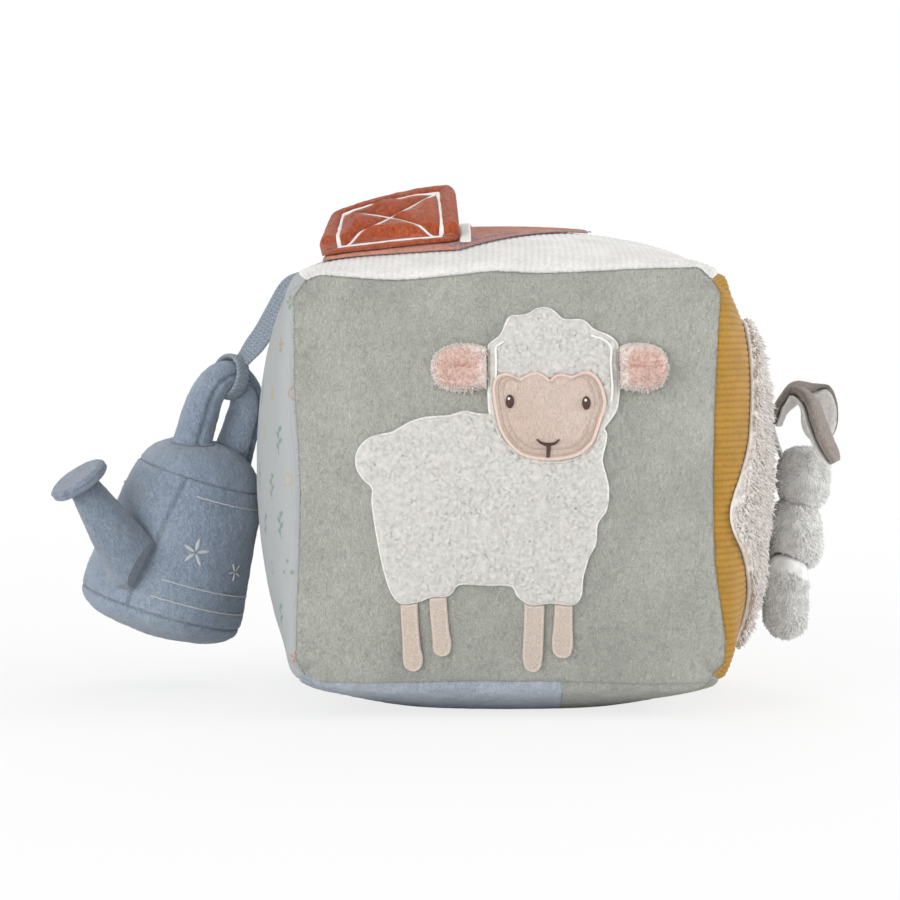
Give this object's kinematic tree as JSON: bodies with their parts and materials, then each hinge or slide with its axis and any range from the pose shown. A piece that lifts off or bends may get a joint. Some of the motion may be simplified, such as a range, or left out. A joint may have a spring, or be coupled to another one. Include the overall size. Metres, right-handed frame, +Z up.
{
  "type": "soft activity cube",
  "caption": "Soft stuffed activity cube for a baby, with a padded sheep, a barn flap, a hanging plush watering can and a small hanging plush rabbit.",
  "frame": {"origin": "on the ground under the middle of the stuffed cube", "axes": "+Z up; the sheep side faces -Y; the watering can hangs on the -X side and the plush rabbit on the +X side"},
  "size_m": [0.2973, 0.1788, 0.1902],
  "materials": {
    "velour_sage": "soft short pile",
    "velour_blue": "soft short pile",
    "cotton_print": "plain weave with a small printed pattern",
    "corduroy_ochre": "fine ribs",
    "corduroy_white": "fine ribs",
    "fleece_boucle": "curly pile",
    "velour_face": "soft short pile",
    "plush_white": "soft short pile",
    "plush_pink": "soft short pile",
    "thread_beige": "satin stitch",
    "thread_brown": "satin stitch",
    "barn_cotton": "soft short pile",
    "cotton_white": "plain weave",
    "velour_rust": "soft short pile",
    "crinkle_film": "thin film inside the flap",
    "ribbon_grey_blue": "knitted ribbon",
    "can_velour_blue": "soft short pile",
    "filling_white": "polyester filling",
    "plush_cream": "long soft pile",
    "plush_grey": "soft short pile",
    "velour_taupe": "soft short pile",
    "lining_cream": "soft short pile",
    "rattle_plastic": "inside the filling",
    "bead_plastic": "inside the rattle"
  },
  "bodies": {
    "cube": {"filling_core": "filling_white", "filling_plug": "filling_white", "rattle_shell_lower": "rattle_plastic", "rattle_shell_upper": "rattle_plastic", "rattle_bead_1": "bead_plastic", "rattle_bead_2": "bead_plastic", "rattle_bead_3": "bead_plastic", "front_panel": "velour_sage", "back_panel": "velour_sage", "left_panel": "cotton_print", "right_panel": "corduroy_ochre", "top_panel": "corduroy_white", "bottom_panel_blue": "velour_blue", "bottom_panel_sage": "velour_sage", "sheep_body_fleece": "fleece_boucle", "sheep_head_fleece": "fleece_boucle", "sheep_face": "velour_face", "sheep_eye_left": "thread_brown", "sheep_eye_right": "thread_brown", "sheep_nose": "thread_brown", "sheep_leg_1": "thread_beige", "sheep_leg_2": "thread_beige", "sheep_leg_3": "thread_beige", "sheep_leg_4": "thread_beige", "barn_applique": "barn_cotton", "barn_white_bar": "cotton_white", "fluffy_patch": "plush_cream"},
    "flap": {"flap_back": "velour_rust", "flap_crinkle_film": "crinkle_film", "flap_front": "velour_rust"},
    "sheep_ear_left": {"sheep_ear_left_back": "plush_white", "sheep_ear_left_inner": "plush_pink"},
    "sheep_ear_right": {"sheep_ear_right_back": "plush_white", "sheep_ear_right_inner": "plush_pink"},
    "tether": {"tether_strap": "ribbon_grey_blue"},
    "can": {"can_base_cover": "can_velour_blue", "can_side_cover": "can_velour_blue", "can_top_cover": "can_velour_blue", "can_filling": "filling_white", "can_spout": "can_velour_blue", "can_rose": "can_velour_blue", "can_handle": "can_velour_blue"},
    "bunny": {"bunny_head": "plush_grey", "bunny_torso": "plush_grey", "bunny_tab": "plush_grey"},
    "bunny_ear_left": {"bunny_ear_left_outer": "velour_taupe", "bunny_ear_left_lining": "lining_cream"},
    "bunny_ear_right": {"bunny_ear_right_outer": "velour_taupe", "bunny_ear_right_lining": "lining_cream"},
    "bunny_leg_left": {"bunny_leg_left": "plush_grey"},
    "bunny_leg_right": {"bunny_leg_right": "plush_grey"}
  },
  "joints": [
    {"name": "flap_lift", "type": "hinge", "parent": "cube", "child": "flap", "pos_m": [-0.0417, -0.046, 0.16906], "axis": [0.9915, 0, 0.1301], "range_deg": [-24, 66]},
    {"name": "sheep_ear_left_fold", "type": "hinge", "parent": "cube", "child": "sheep_ear_left", "pos_m": [-0.00852, -0.08667, 0.1254], "axis": [0, 0, 1], "range_deg": [0, 70], "stiffness_Nm_per_rad": 0.0005},
    {"name": "sheep_ear_right_fold", "type": "hinge", "parent": "cube", "child": "sheep_ear_right", "pos_m": [0.03865, -0.08483, 0.1258], "axis": [0, 0, -1], "range_deg": [0, 70], "stiffness_Nm_per_rad": 0.0005},
    {"name": "tether_swing", "type": "hinge", "parent": "cube", "child": "tether", "pos_m": [-0.07384, 0.025, 0.15754], "axis": [0, 1, 0], "range_deg": [0, 100]},
    {"name": "can_swing", "type": "hinge", "parent": "tether", "child": "can", "pos_m": [-0.10484, 0.025, 0.11704], "axis": [0.7325, 0.6429, -0.2237], "range_deg": [0, 60]},
    {"name": "bunny_swing", "type": "hinge", "parent": "cube", "child": "bunny", "pos_m": [0.09796, 0, 0.10831], "axis": [0, -1, 0], "range_deg": [0, 40]},
    {"name": "bunny_ear_left_flop", "type": "hinge", "parent": "bunny", "child": "bunny_ear_left", "pos_m": [0.09996, -0.0091, 0.10131], "axis": [0, -1, 0], "range_deg": [0, 20]},
    {"name": "bunny_ear_right_flop", "type": "hinge", "parent": "bunny", "child": "bunny_ear_right", "pos_m": [0.09996, 0.0091, 0.10131], "axis": [0, -1, 0], "range_deg": [0, 20]},
    {"name": "bunny_leg_left_swing", "type": "hinge", "parent": "bunny", "child": "bunny_leg_left", "pos_m": [0.10476, -0.0083, 0.04531], "axis": [0, -1, 0], "range_deg": [0, 30]},
    {"name": "bunny_leg_right_swing", "type": "hinge", "parent": "bunny", "child": "bunny_leg_right", "pos_m": [0.10476, 0.0083, 0.04531], "axis": [0, -1, 0], "range_deg": [0, 30]}
  ]
}
